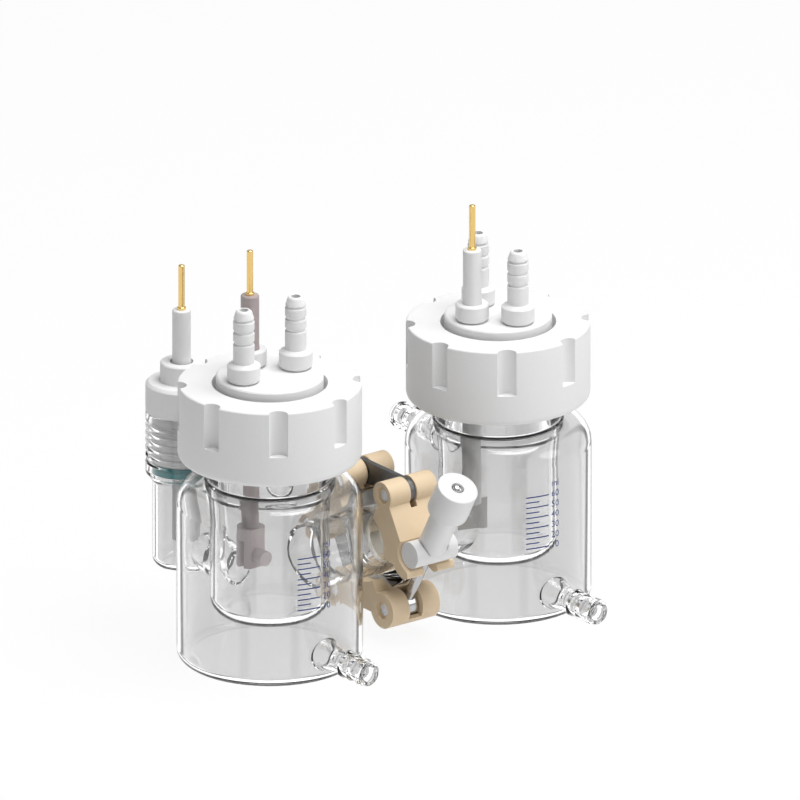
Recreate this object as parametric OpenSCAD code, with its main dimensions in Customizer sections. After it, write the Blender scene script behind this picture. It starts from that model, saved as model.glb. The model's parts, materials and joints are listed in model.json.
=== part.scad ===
// H-type electrolytic cell: two jacketed glass cells joined by a clamped bridge,
// with a reference electrode chamber behind the left cell. Millimetres.
// +X runs from the left cell to the right one, +Y to the back and +Z up.

/* [Cells] */
// Distance between the axes of the two cells
cell_pitch = 92.1; // [88:0.1:110]
// Outer diameter of a glass jacket
jacket_d = 60; // [56:0.5:64]
// Wall of a glass jacket
jacket_wall = 1.8; // [1.2:0.1:2.4]
// Height at which the shoulder of a jacket starts
shoulder_z = 53; // [52:0.5:56]
// Radius of the shoulder of a jacket
shoulder_r = 9; // [8.5:0.1:9.2]
// Radius of the bottom edge of a jacket
jacket_corner = 4; // [2.5:0.1:5]
// Outer diameter of an inner vessel
vessel_d = 38.4; // [37.8:0.1:39.2]
// Wall of an inner vessel
vessel_wall = 1.8; // [1.2:0.1:2.4]
// Height of the underside of an inner vessel
vessel_base = 15.8; // [12:0.1:17]
// Thickness of the floor of an inner vessel
vessel_floor = 2.2; // [1.5:0.1:3]
// Radius of the bottom edge of an inner vessel
vessel_corner = 6; // [5:0.1:7]
// Outer diameter of the screw neck
neck_d = 41.2; // [40.6:0.1:41.8]
// Wall of the screw neck
neck_wall = 3.2; // [2.8:0.1:3.4]
// Height of the glass rim of the neck
rim_z = 84.5; // [80:0.5:90]

/* [Screw caps] */
// Wall of a screw cap, from its bore out
cap_wall = 6.8; // [5.6:0.1:8]
// Room for the thread between the neck and the bore of a cap
thread_room = 2.2; // [2:0.1:3]
// Height of a screw cap
cap_h = 25.6; // [22:0.2:28]
// Thickness of the top of a screw cap
cap_top = 5.2; // [3:0.1:7]
// Gap between the disc of a lid and the hole in the top of its cap
cap_hole_gap = 1.3; // [0.9:0.1:2]
// Number of grip flutes round a cap
flute_count = 8; // [4:1:12]
// Radius of the cutter of a grip flute
flute_r = 3.1; // [2:0.1:3.6]
// Distance from the rim of the cap out to the middle of a flute
flute_out = 0.2; // [0:0.1:1.2]
// Length of a grip flute
flute_len = 15; // [8:0.1:18]
// Direction of the first flute
flute_turn = 13.15; // [0:0.05:45]

/* [Lids] */
// Diameter of the raised disc of a lid
lid_disc_d = 34.6; // [34:0.1:35.2]
// Height of the disc over the top of the cap
lid_rise = 2.6; // [1:0.1:4]
// Gap between the flange of a lid and the bore of its cap
lid_flange_gap = 1.3; // [0.8:0.1:1.8]
// Thickness of the flange of a lid
lid_flange_t = 3; // [2:0.1:4]
// Depth of the plug of a lid below the glass rim
lid_plug_depth = 12.5; // [11:0.1:16]
// Thickness of the flat seal on the glass rim
neck_seal_t = 1.5; // [1:0.1:2]
// Distance from the rim of the disc in to the collars on it
port_margin = 1.44; // [1.1:0.02:1.9]

/* [Gas barbs and glands] */
// Diameter of the collar of a barb or gland
collar_d = 10.8; // [10:0.1:11.2]
// Height of the collar of a barb or gland
collar_h = 5.9; // [4:0.1:7]
// Diameter of the shank of a gas barb
shank_d = 6.9; // [6.4:0.1:7.4]
// Length of the plain shank of a gas barb, over the collar
barb_shank_h = 6.7; // [4:0.1:8]
// Depth of the grooves between the rings of a gas barb
barb_groove = 0.5; // [0.3:0.05:0.6]
// Height of the top of a gas barb over the disc
barb_h = 24.4; // [22:0.1:27]
// Bore of a gas barb
barb_bore_d = 3; // [2:0.1:3.2]
// Section of a gland O-ring
gland_ring_section = 1; // [0.8:0.05:1.2]

/* [Electrodes] */
// Diameter of an electrode rod
rod_d = 6; // [5.6:0.1:6.2]
// Height of the top of an electrode rod over the disc
rod_rise = 24.2; // [18:0.1:30]
// Diameter of a contact pin
contact_d = 2.1; // [1.8:0.1:2.4]
// Length of a contact pin above its rod
contact_h = 15.2; // [10:0.1:20]
// Depth that a contact pin goes into its rod
contact_depth = 10; // [6:0.5:14]
// Diameter of the electrode clip
clip_d = 9.5; // [9:0.1:10.5]
// Height of the underside of the clip
clip_z = 29; // [27:0.1:33]
// Height of the clip
clip_h = 12.4; // [11:0.1:14]
// Width of the slot in the clip
clip_slot = 1.9; // [1:0.1:2.4]
// Diameter of the head of the clip screw
clip_head_d = 4.9; // [4:0.1:5.2]
// Length of the head of the clip screw
clip_head_len = 4.4; // [3:0.1:4.6]
// Side of the square platinum plate
plate_side = 10.4; // [8:0.1:11]
// Thickness of the platinum plate
plate_t = 0.5; // [0.3:0.1:1]
// Height of the lower edge of the platinum plate
plate_z = 25.5; // [22:0.1:28]
// Direction of the platinum plate, seen from above
plate_turn = -15.5; // [-30:0.5:30]

/* [Reference chamber] */
// Distance from the axis of the left cell back to the chamber's axis
chamber_y = 46.6; // [44:0.1:52]
// Outer diameter of the chamber's tube
chamber_d = 18.8; // [18:0.1:19.6]
// Wall of the chamber's tube
chamber_wall = 1.6; // [1.2:0.1:2]
// Height of the underside of the chamber
chamber_base = 17.9; // [15.6:0.1:18.4]
// Outer diameter of the chamber's neck
chamber_neck_d = 23.2; // [22.8:0.1:24]
// Height of the rim of the chamber's neck
chamber_rim_z = 71; // [68:0.5:76]
// Length of the chamber's neck, flare included
chamber_neck_h = 23.9; // [20:0.1:26]
// Height of the cap part of the screw plug
plug_head_h = 10; // [8:0.1:12]
// Height of the collar of the screw plug
plug_collar_h = 6.5; // [4:0.1:8]
// Diameter of the collar of the screw plug
plug_collar_d = 13.8; // [12:0.1:15]
// Diameter of the threaded part of the screw plug
plug_thread_d = 19; // [18.6:0.1:19.2]
// Length of the threaded part of the screw plug
plug_thread_h = 17; // [14:0.1:17.4]
// Pitch of the screw thread of the plug
plug_thread_pitch = 2.9; // [2:0.1:4]
// Depth of the thread's grooves
plug_thread_cut = 0.8; // [0.4:0.1:1.2]
// Section of the plug's O-ring
plug_ring_section = 2.6; // [2:0.1:3]
// Height of the middle of the plug's O-ring
plug_ring_z = 50.6; // [50.4:0.1:51]
// Height of the lower tip of the reference electrode
reference_tip_z = 27; // [24:0.5:35]
// Height of the reference electrode over the plug's collar
reference_rise = 17.7; // [12:0.1:22]
// Height of the middle of the side arm
side_arm_z = 25.6; // [25.4:0.1:27]
// Outer diameter of the side arm
side_arm_d = 12.5; // [10:0.1:12.8]
// Wall of the side arm
side_arm_wall = 1.5; // [1:0.1:2]

/* [Bridge] */
// Height of the middle of the bridge
bridge_z = 30.5; // [30:0.1:32]
// Outer diameter of a bridge arm
arm_d = 21.6; // [20:0.1:22]
// Wall of a bridge arm
arm_wall = 1.8; // [1.2:0.1:2.4]
// Diameter of the flanges
flange_d = 32; // [31:0.1:32.4]
// Thickness of the rim of a flange
flange_rim_t = 1.5; // [1:0.1:2]
// Length of the cone behind the rim of a flange
flange_cone_h = 4; // [3:0.1:4.5]
// Thickness of a gasket
gasket_t = 0.8; // [0.5:0.1:1.2]
// Outer diameter of a gasket
gasket_d = 29.8; // [26:0.1:30.2]
// Thickness of the membrane
membrane_t = 0.2; // [0.1:0.05:0.4]

/* [Water hose barbs] */
// Height of the lower water barbs
low_barb_z = 9.8; // [9:0.1:11]
// Height of the upper water barbs
high_barb_z = 46.7; // [45:0.1:47]
// Length of a water barb, out from the axis of its cell
water_barb_reach = 52.5; // [50:0.5:56]
// Diameter of a water barb where it meets the jacket
water_flare_d = 12; // [10:0.1:13]
// Length of the flare of a water barb, out from the jacket
water_flare_len = 6; // [4:0.1:8]
// Diameter of the shank of a water barb
water_shank_d = 7.6; // [7:0.1:8]
// Diameter of the ridges of a water barb
water_ridge_d = 9; // [8.6:0.1:9.6]
// Bore of a water barb
water_bore_d = 5; // [4:0.1:5.4]
// Direction of the upper barb of the left cell, seen from above
left_high_turn = 45; // [35:1:50]

/* [Clamp] */
// Width of the clamp's jaws
jaw_w = 19; // [17:0.1:20]
// Radius of the circle that the hinge pins lie on
pin_circle_r = 22.6; // [22.4:0.1:23.4]
// Radius of the barrels round the hinge pins
barrel_r = 4.7; // [4.5:0.1:5]
// Distance of the outer flats of the jaws from the middle
jaw_flat_r = 21.6; // [21:0.1:22]
// Radius of the lips of the jaws
jaw_lip_r = 12.5; // [12:0.1:13]
// Diameter of a hinge pin
hinge_pin_d = 4; // [3.6:0.1:4.2]
// Diameter of the counterbore round the end of a hinge pin
counterbore_d = 5.8; // [5:0.1:6.2]
// Depth of the counterbore
counterbore_h = 1; // [0.5:0.1:1.5]
// Thickness of a link plate
link_t = 2; // [1.5:0.1:2.5]
// Radius of the round ends of a link plate
link_end_r = 4.2; // [3.8:0.1:4.4]
// Reach of the slot for a link plate, out from its hinge pin
link_slot_reach = 6.4; // [5.4:0.1:6.8]
// Wall between the slot for a link plate and the groove for the flanges
link_slot_floor = 1.2; // [0.8:0.1:1.6]
// Half width of a link plate on the side of the flanges
link_waist = 3.2; // [2.8:0.1:3.4]
// Diameter of the swing bolt
bolt_d = 4; // [3.5:0.1:4.2]
// Distance from the bolt's pivot to the cross barrel
bolt_reach = 25.9; // [25:0.1:27]
// Direction of the bolt from its pivot, up from the back
bolt_turn = 120; // [118:0.5:122]
// Diameter of the bolt's eye
bolt_eye_d = 8.4; // [8:0.1:9]
// Width of the bolt's eye
bolt_eye_w = 4.8; // [4:0.1:5.4]
// Diameter of the cross barrel
cross_d = 8.8; // [8.4:0.1:9.2]
// Length of the cross barrel
cross_len = 16.4; // [14:0.1:17]
// Distance of the flat seat of the cross barrel from its axis
cross_seat = 2.2; // [1.5:0.1:4]
// Gap round the knob's neck in the seat of the cross barrel, on the radius
cross_seat_gap = 0.6; // [0.2:0.1:0.8]
// Outer radius of the fork round the cross barrel
fork_r = 8.6; // [8:0.1:9]
// Reach of the fork's hook, out from the cross barrel's axis
fork_lip = 4.2; // [3.8:0.1:4.6]
// Chamfer at the end of the hook
fork_chamfer = 1.2; // [0.6:0.1:1.6]
// Diameter of the knob's neck
knob_neck_d = 9.3; // [8.6:0.1:9.6]
// Diameter of the knob's head
knob_head_d = 13.5; // [12:0.1:15]
// Length of the knob's head
knob_head_len = 12; // [9:0.5:14]
// Distance of the top of the knob from the cross barrel's axis
knob_top = 29.7; // [26:0.1:33]

/* [Clearances] */
// Clearance of a plug in its glass neck, on the radius
plug_gap = 0.2; // [0.1:0.05:0.3]
// Clearance of a rod in its gland, on the radius
rod_gap = 0.1; // [0.05:0.01:0.15]
// Clearance of a turning pin in its bore, on the radius
run_gap = 0.05; // [0.02:0.01:0.1]
// Clearance between the jaws and the flanges
flange_gap = 0.3; // [0.2:0.05:0.4]
// Clearance at the sides of a link plate or an eye
side_gap = 0.2; // [0.1:0.05:0.3]
// Clearance round the cross barrel in the fork
fork_gap = 0.3; // [0.2:0.05:0.4]

/* [Hidden] */
$fn = 96;
far = 200;

// Places of the cells, with the middle of the whole object's box at y = 0
cell_x = cell_pitch / 2;
front_y = -water_barb_reach;
back_y = chamber_y + chamber_neck_d / 2;
axis_y = -(front_y + back_y) / 2;

// Radii of the glass
jacket_r = jacket_d / 2;
jacket_in_r = jacket_r - jacket_wall;
shoulder_top = shoulder_z + shoulder_r;
vessel_r = vessel_d / 2;
vessel_in_r = vessel_r - vessel_wall;
neck_r = neck_d / 2;
neck_in_r = neck_r - neck_wall;
cap_bore_d = neck_d + 2 * thread_room;
cap_d = cap_bore_d + 2 * cap_wall;
cap_hole_d = lid_disc_d + 2 * cap_hole_gap;
lid_flange_d = cap_bore_d - 2 * lid_flange_gap;
port_circle_r = (lid_disc_d - collar_d) / 2 - port_margin;
neck_start = shoulder_top - jacket_wall - 1.5;

// Heights of the closure
seal_top = rim_z + neck_seal_t;
flange_top = seal_top + lid_flange_t;
cap_z = flange_top + cap_top - cap_h;
disc_top = flange_top + cap_top + lid_rise;
plug_r = neck_in_r - plug_gap;
lid_bottom = rim_z - lid_plug_depth;

// Glands and barbs
rod_r = rod_d / 2;
rod_hole_r = rod_r + rod_gap;
gland_r = rod_hole_r + gland_ring_section;
gland_stem_r = gland_r - 0.1;
gland_depth = 6.8;
barb_stem_r = 3.2;
barb_stem_h = 8;
collar_bevel = 1;
collar_edge = 0.4;
collar_rise = 0.6;
tip_r = 1.9;
rod_top = disc_top + rod_rise;

// Directions of the ports and the water barbs, seen from above
WATER_IN = -90;
WATER_OUT = 90;
LEFT_GAS = [180, 0];
LEFT_ROD = 90;
RIGHT_GAS = [-90, 90];
RIGHT_ROD = 180;

// Clip and plate
clip_top = clip_z + clip_h;
clip_jaw_h = 9;
clip_socket = 2.6;
clip_screw_z = clip_z + 4.2;
clip_thread_r = 1;
clip_thread_len = 4.4;
plate_top = plate_z + plate_side;
counter_rod_z = plate_top - 1.3;

// Reference chamber
chamber_r = chamber_d / 2;
chamber_neck_r = chamber_neck_d / 2;
chamber_corner = 3.5;
chamber_neck_z = chamber_rim_z - chamber_neck_h;
chamber_flare = 3;
chamber_in_r = chamber_r - chamber_wall;
thread_in_r = plug_thread_d / 2 + 0.4;
plug_bottom = chamber_rim_z - plug_thread_h;
thread_z = plug_ring_z + plug_ring_section / 2 + 0.1;
thread_slope = thread_in_r - chamber_in_r;
plug_collar_z = chamber_rim_z + plug_head_h;
plug_top = plug_collar_z + plug_collar_h;
plug_nose_r = chamber_in_r - plug_ring_section + 0.6;
plug_nose_z = plug_ring_z - plug_ring_section / 2 - 0.6;
ring_r = chamber_in_r - plug_ring_section / 2 - rod_gap;
ring_groove_r = ring_r - plug_ring_section / 2;
reference_top = plug_top + reference_rise;

// Bridge
arm_r = arm_d / 2;
arm_bore_r = arm_r - arm_wall;
flange_r = flange_d / 2;
flange_face = membrane_t / 2 + gasket_t;
flange_back = flange_face + flange_rim_t;
flange_end = flange_back + flange_cone_h;
side_arm_r = side_arm_d / 2;
side_arm_bore_r = side_arm_r - side_arm_wall;

// Clamp, in directions seen from the right cell, with 0 at the back and 90 up
BACK_TOP = 60;
FRONT_TOP = 120;
BOLT_PIN = 240;
LOW_BACK = 300;
BACK_LOW = 0;
FORK_END = 187;
BACK_FLAT = 30;
FRONT_FLAT = 150;
LOW_FLAT = 270;
half_w = jaw_w / 2;
groove_r = flange_r + flange_gap;
groove_half = flange_back + flange_gap;
flank_slope = flange_cone_h / (flange_r - arm_r);
lip_half = groove_half + (groove_r - jaw_lip_r) * flank_slope;
hinge_pin_r = hinge_pin_d / 2;
link_slot = link_t + 2 * side_gap;
link_slot_r = barrel_r + 0.4;
pin_len = jaw_w - 2 * counterbore_h;
pin_bore_r = hinge_pin_r + run_gap;
fork_slot = max(bolt_d, bolt_eye_w) + 2 * side_gap;
ear_r = 6;
bolt_r = bolt_d / 2;
bolt_bore_r = bolt_r + run_gap;
cross_r = cross_d / 2;
fork_seat_r = cross_r + fork_gap;
bolt_len = bolt_reach + knob_top + 0.8;
knob_bore_r = bolt_r + run_gap;
knob_step = 1;

function polar(r, a) = [r * cos(a), r * sin(a)];

// Places a shape, drawn about the Z axis, on the axis of a cell: side is -1 left, 1 right
module at_cell(side) {
  translate([side * cell_x, axis_y, 0]) children();
}

// Places a shape on a port of a lid
module at_port(side, turn) {
  at_cell(side) translate([port_circle_r * cos(turn), port_circle_r * sin(turn), 0]) children();
}

// Extrudes an outline drawn in (back, up) from the bridge's axis along X, centred
module across(w) {
  translate([0, axis_y, bridge_z]) rotate([90, 0, 90]) linear_extrude(w, center = true) children();
}

// Turns a profile of (radius, X) about the bridge's axis
module about_bridge() {
  translate([0, axis_y, bridge_z]) rotate([0, 90, 0]) rotate_extrude() children();
}

// Glass

// Outline of a round vessel: straight side, rounded bottom edge
module tub_outline(r, base, corner, top) {
  translate([0, base]) square([r - corner, top - base]);
  translate([0, base + corner]) square([r, top - base - corner]);
  translate([r - corner, base + corner]) circle(corner);
}

// Outline of a jacket, drawn in by inset, with its shoulder
module jacket_outline(inset) {
  r = jacket_r - inset;
  shoulder = shoulder_r - inset;
  tub_outline(r, inset, jacket_corner - inset, shoulder_z);
  translate([0, shoulder_z]) square([r - shoulder, shoulder]);
  intersection() {
    translate([r - shoulder, shoulder_z]) circle(shoulder);
    translate([0, shoulder_z]) square([r, shoulder]);
  }
}

// Outline of a vessel's outside, with its neck
module vessel_outline() {
  tub_outline(vessel_r, vessel_base, vessel_corner, neck_start);
  polygon([[0, neck_start - 2], [vessel_r, neck_start - 2], [neck_r, neck_start],
    [neck_r, rim_z], [0, rim_z]]);
}

module vessel_envelope(side) {
  at_cell(side) rotate_extrude() vessel_outline();
}

// Outline of a water barb along its axis: flare, shank, three ridges and the bore
module water_barb_outline() {
  start = jacket_r - jacket_wall * 0.75;
  flare_end = jacket_r + water_flare_len;
  flare_round = water_flare_len;
  ridge = water_ridge_d / 2;
  shank = water_shank_d / 2;
  pitch = 0.283 * (water_barb_reach - flare_end);
  difference() {
    union() {
      translate([0, start]) square([shank, water_barb_reach - start]);
      difference() {
        translate([0, start]) square([water_flare_d / 2, flare_end - start]);
        translate([shank + flare_round, flare_end]) circle(flare_round);
      }
      for (k = [1:3])
        translate([0, flare_end + (k - 1) * pitch])
          polygon([[0, 0.26 * pitch], [shank, 0.26 * pitch], [ridge, pitch], [ridge, 1.19 * pitch],
            [shank, 1.41 * pitch], [0, 1.41 * pitch]]);
    }
    translate([0, water_barb_reach]) square(far);
    square([water_bore_d / 2, far]);
  }
}

// Turns the Z axis to the direction turn, seen from above, at height z on a cell
module out_of_cell(side, turn, z) {
  at_cell(side) translate([0, 0, z]) rotate([0, 0, turn]) rotate([0, 90, 0]) children();
}

// A water barb, from the outside of its jacket
module water_barb(side, turn, z) {
  color([0.9, 0.94, 0.95, 0.35])
    difference() {
      out_of_cell(side, turn, z) rotate_extrude() water_barb_outline();
      at_cell(side) cylinder(h = far, r = jacket_r);
    }
}

module left_water_inlet() {
  water_barb(-1, WATER_IN, low_barb_z);
}

module left_water_outlet() {
  water_barb(-1, left_high_turn, high_barb_z);
}

module right_water_inlet() {
  water_barb(1, WATER_IN, low_barb_z);
}

module right_water_outlet() {
  water_barb(1, WATER_OUT, high_barb_z);
}

// A jacket with the holes for the water and for the arms that pass through it
module glass_jacket(side, high_turn) {
  color([0.9, 0.94, 0.95, 0.35])
    difference() {
      at_cell(side) rotate_extrude() difference() {
        jacket_outline(0);
        jacket_outline(jacket_wall);
        translate([0, shoulder_z]) square([neck_r, shoulder_r + 1]);
      }
      out_of_cell(side, WATER_IN, low_barb_z) cylinder(h = far, r = water_bore_d / 2);
      out_of_cell(side, high_turn, high_barb_z) cylinder(h = far, r = water_bore_d / 2);
      translate([0, axis_y, bridge_z]) rotate([0, side * 90, 0]) cylinder(h = cell_x, r = arm_r);
      if (side < 0)
        translate([-cell_x, axis_y, side_arm_z]) rotate([-90, 0, 0]) cylinder(h = chamber_y, r = side_arm_r);
    }
}

module left_glass_jacket() {
  glass_jacket(-1, left_high_turn);
}

module right_glass_jacket() {
  glass_jacket(1, WATER_OUT);
}

// Outline of a vessel's inside, up through its neck
module vessel_bore_outline() {
  tub_outline(vessel_in_r, vessel_base + vessel_floor, vessel_corner - vessel_wall, neck_start - 2);
  polygon([[0, neck_start - 3], [vessel_in_r, neck_start - 3], [vessel_in_r, neck_start - 2],
    [neck_in_r, neck_start], [neck_in_r, far], [0, far]]);
}

// An inner vessel with its neck and the hole into the bridge arm
module glass_vessel(side) {
  color([0.9, 0.94, 0.95, 0.35])
    difference() {
      at_cell(side) rotate_extrude() difference() {
        vessel_outline();
        vessel_bore_outline();
      }
      translate([0, axis_y, bridge_z]) rotate([0, side * 90, 0]) cylinder(h = cell_x, r = arm_bore_r);
      if (side < 0)
        translate([-cell_x, axis_y, side_arm_z]) rotate([-90, 0, 0])
          cylinder(h = chamber_y, r = side_arm_bore_r);
    }
}

module left_glass_vessel() {
  glass_vessel(-1);
}

module right_glass_vessel() {
  glass_vessel(1);
}

// A bridge arm with its flange: the end inside is shaped to the vessel
module bridge_arm(side) {
  color([0.9, 0.94, 0.95, 0.35])
    difference() {
      translate([0, axis_y, bridge_z]) rotate([0, side * 90, 0]) rotate_extrude()
        polygon([[arm_bore_r, flange_face], [flange_r, flange_face], [flange_r, flange_back],
          [arm_r, flange_end], [arm_r, cell_x], [arm_bore_r, cell_x]]);
      vessel_envelope(side);
    }
}

module left_bridge_arm() {
  bridge_arm(-1);
}

module right_bridge_arm() {
  bridge_arm(1);
}

// Outline of the outside of the reference chamber
module chamber_outline() {
  tub_outline(chamber_r, chamber_base, chamber_corner, chamber_neck_z + 1);
  polygon([[0, chamber_neck_z], [chamber_r, chamber_neck_z],
    [chamber_neck_r, chamber_neck_z + chamber_flare], [chamber_neck_r, chamber_rim_z], [0, chamber_rim_z]]);
}

module reference_chamber() {
  color([0.9, 0.94, 0.95, 0.35])
    difference() {
      translate([-cell_x, axis_y + chamber_y, 0]) rotate_extrude() difference() {
        chamber_outline();
        tub_outline(chamber_in_r, chamber_base + chamber_wall, chamber_corner - chamber_wall, thread_z + 1);
        polygon([[0, thread_z], [chamber_in_r, thread_z], [thread_in_r, thread_z + thread_slope],
          [thread_in_r, far], [0, far]]);
      }
      translate([-cell_x, axis_y, side_arm_z]) rotate([-90, 0, 0])
        cylinder(h = chamber_y, r = side_arm_bore_r);
    }
}

// The tube between the left vessel and the reference chamber, shaped to both
module side_arm_tube() {
  color([0.9, 0.94, 0.95, 0.35])
    difference() {
      translate([-cell_x, axis_y, side_arm_z]) rotate([-90, 0, 0]) difference() {
        cylinder(h = chamber_y, r = side_arm_r);
        cylinder(h = chamber_y, r = side_arm_bore_r);
      }
      vessel_envelope(-1);
      translate([-cell_x, axis_y + chamber_y, 0]) rotate_extrude() chamber_outline();
    }
}

// Bridge joint

// A flat ring or disc on the bridge's axis, from x0 to x1
module bridge_disc(r_in, r_out, x0, x1) {
  about_bridge() translate([r_in, x0]) square([r_out - r_in, x1 - x0]);
}

module left_flange_gasket() {
  color("whitesmoke") bridge_disc(arm_bore_r, gasket_d / 2, -flange_face, -membrane_t / 2);
}

module right_flange_gasket() {
  color("whitesmoke") bridge_disc(arm_bore_r, gasket_d / 2, membrane_t / 2, flange_face);
}

module membrane() {
  color("wheat") bridge_disc(0, gasket_d / 2 - 1, -membrane_t / 2, membrane_t / 2);
}

// Clamp

// A wedge between two directions
module wedge(a, b) {
  mid = (a + b) / 2;
  polygon([[0, 0], polar(far, a), polar(far, mid), polar(far, b)]);
}

// Everything on the inside of the flat that faces the direction mid
module inside_flat(mid) {
  rotate(mid) translate([jaw_flat_r - far, -far]) square([far, 2 * far]);
}

// Side view of a jaw from direction a to direction b, whose flat faces mid
module jaw_outline(a, b, mid) {
  difference() {
    intersection() {
      wedge(a, b);
      inside_flat(mid);
    }
    circle(jaw_lip_r);
  }
}

// The groove that grips the two flanges, cut from every jaw
module flange_groove() {
  about_bridge()
    polygon([[0, -lip_half], [jaw_lip_r, -lip_half], [groove_r, -groove_half],
      [groove_r, groove_half], [jaw_lip_r, lip_half], [0, lip_half]]);
}

// The hole, the two counterbores and the slot of a hinge
module hinge_cut(turn, slot_w, slot_r) {
  across(jaw_w + 2) translate(polar(pin_circle_r, turn)) circle(hinge_pin_r);
  for (side = [-1, 1])
    translate([side * (half_w + 1 - counterbore_h), 0, 0])
      across(2) translate(polar(pin_circle_r, turn)) circle(counterbore_d / 2);
  across(slot_w) difference() {
    translate(polar(pin_circle_r, turn)) circle(slot_r);
    circle(groove_r + link_slot_floor);
  }
}

// The path that a link plate takes out of its slot, from one pin towards the other
module link_path(a, b) {
  p = polar(pin_circle_r, a);
  q = polar(pin_circle_r, b);
  run = atan2(q[1] - p[1], q[0] - p[0]);
  across(link_slot) translate(p) rotate(run) translate([0, -link_slot_r])
    square([pin_circle_r, 2 * link_slot_r]);
}

module clamp_back_jaw() {
  color([0.9, 0.81, 0.67])
    difference() {
      across(jaw_w) {
        jaw_outline(BACK_LOW, BACK_TOP, BACK_FLAT);
        for (turn = [BACK_LOW, BACK_TOP]) translate(polar(pin_circle_r, turn)) circle(barrel_r);
      }
      flange_groove();
      hinge_cut(BACK_LOW, link_slot, link_slot_reach);
      hinge_cut(BACK_TOP, link_slot, link_slot_reach);
      link_path(BACK_TOP, FRONT_TOP);
      link_path(BACK_LOW, LOW_BACK);
    }
}

// Middle of the cross barrel, from the bridge's axis
function cross_at() = polar(pin_circle_r, BOLT_PIN) + polar(bolt_reach, bolt_turn);

// Places a shape on the cross barrel, with +Y along the bolt and +X inwards
module at_cross() {
  translate(cross_at()) rotate(bolt_turn - 90) children();
}

// What the cross barrel needs clear to drop into the fork and swing out of it
module fork_clear() {
  at_cross() {
    circle(fork_seat_r);
    translate([-far, -fork_seat_r]) square([far, far]);
    translate([-fork_seat_r, 0]) square([2 * fork_seat_r, far]);
    fork_end_clear();
  }
}

// What is cut off beyond the end of the fork's hook, seen from the cross barrel
module fork_end_clear() {
  top = -fork_seat_r;
  low = top - 1.9;
  polygon([[-far, top + 1], [1 + fork_chamfer - fork_lip, top + 1], [-fork_lip, top - fork_chamfer],
    [-fork_lip, low], [2.4 - fork_lip, low - 3], [2.4 - fork_lip, -far], [-far, -far]]);
}

module clamp_front_jaw() {
  color([0.9, 0.81, 0.67])
    difference() {
      across(jaw_w) difference() {
        union() {
          jaw_outline(FRONT_TOP, FORK_END, FRONT_FLAT);
          translate(polar(pin_circle_r, FRONT_TOP)) circle(barrel_r);
          difference() {
            intersection() {
              translate(cross_at()) circle(fork_r);
              inside_flat(FRONT_FLAT);
            }
            circle(groove_r);
          }
        }
        fork_clear();
      }
      flange_groove();
      hinge_cut(FRONT_TOP, link_slot, link_slot_reach);
      link_path(FRONT_TOP, BACK_TOP);
      across(fork_slot) at_cross() translate([-far, -far]) square([far + bolt_r + 1.2, far + fork_seat_r]);
    }
}

module clamp_lower_jaw() {
  color([0.9, 0.81, 0.67])
    difference() {
      across(jaw_w) {
        jaw_outline(BOLT_PIN, LOW_BACK, LOW_FLAT);
        translate(polar(pin_circle_r, LOW_BACK)) circle(barrel_r);
        difference() {
          translate(polar(pin_circle_r, BOLT_PIN)) circle(ear_r);
          circle(groove_r);
        }
      }
      flange_groove();
      hinge_cut(LOW_BACK, link_slot, link_slot_reach);
      hinge_cut(BOLT_PIN, fork_slot, bolt_eye_d / 2 + 0.4);
      link_path(LOW_BACK, BACK_LOW);
      across(fork_slot) translate(polar(pin_circle_r, BOLT_PIN)) rotate(bolt_turn)
        translate([0, -bolt_eye_d / 2 - 0.4]) square([far, far]);
    }
}

// A link plate between the pins at directions a and b, hollowed round the flanges
module link_plate(a, b) {
  color([0.35, 0.36, 0.38])
    across(link_t) difference() {
      union() {
        p = polar(pin_circle_r, a);
        q = polar(pin_circle_r, b);
        run = atan2(q[1] - p[1], q[0] - p[0]);
        for (at = [p, q]) translate(at) circle(link_end_r);
        translate(p) rotate(run) translate([0, -link_end_r])
          square([norm(q - p), link_end_r + link_waist]);
      }
      for (turn = [a, b]) translate(polar(pin_circle_r, turn)) circle(pin_bore_r);
      circle(groove_r);
    }
}

module clamp_top_link() {
  link_plate(BACK_TOP, FRONT_TOP);
}

module clamp_lower_link() {
  link_plate(LOW_BACK, BACK_LOW);
}

module hinge_pin(turn) {
  color("silver") across(pin_len) translate(polar(pin_circle_r, turn)) circle(hinge_pin_r);
}

module back_jaw_pins() {
  hinge_pin(BACK_LOW);
  hinge_pin(BACK_TOP);
}

module front_jaw_pin() {
  hinge_pin(FRONT_TOP);
}

module lower_jaw_pins() {
  hinge_pin(LOW_BACK);
  hinge_pin(BOLT_PIN);
}

// Places a shape, drawn about the Z axis, along the bolt with z = 0 at its pivot
module along_bolt() {
  p = polar(pin_circle_r, BOLT_PIN);
  translate([0, axis_y + p[0], bridge_z + p[1]]) rotate([bolt_turn - 90, 0, 0]) children();
}

module swing_bolt() {
  color("silver")
    difference() {
      union() {
        across(bolt_eye_w) translate(polar(pin_circle_r, BOLT_PIN)) circle(bolt_eye_d / 2);
        along_bolt() cylinder(h = bolt_len, r = bolt_r);
      }
      across(jaw_w) translate(polar(pin_circle_r, BOLT_PIN)) circle(pin_bore_r);
    }
}

module cross_barrel() {
  color("whitesmoke")
    difference() {
      across(cross_len) translate(cross_at()) circle(cross_r);
      along_bolt() cylinder(h = far, r = bolt_bore_r);
      along_bolt() translate([0, 0, bolt_reach + cross_seat])
        cylinder(h = far, r = knob_neck_d / 2 + cross_seat_gap);
    }
}

module clamp_knob() {
  color("white")
    along_bolt() translate([0, 0, bolt_reach]) rotate_extrude() difference() {
      head_z = knob_top - knob_head_len;
      neck = knob_neck_d / 2;
      head = knob_head_d / 2;
      polygon([[0, cross_seat], [neck, cross_seat], [neck, head_z], [head - knob_step, head_z],
        [head, head_z + knob_step], [head, knob_top - knob_step], [head - knob_step, knob_top],
        [0, knob_top]]);
      square([knob_bore_r, far]);
    }
}

// Closures

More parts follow.
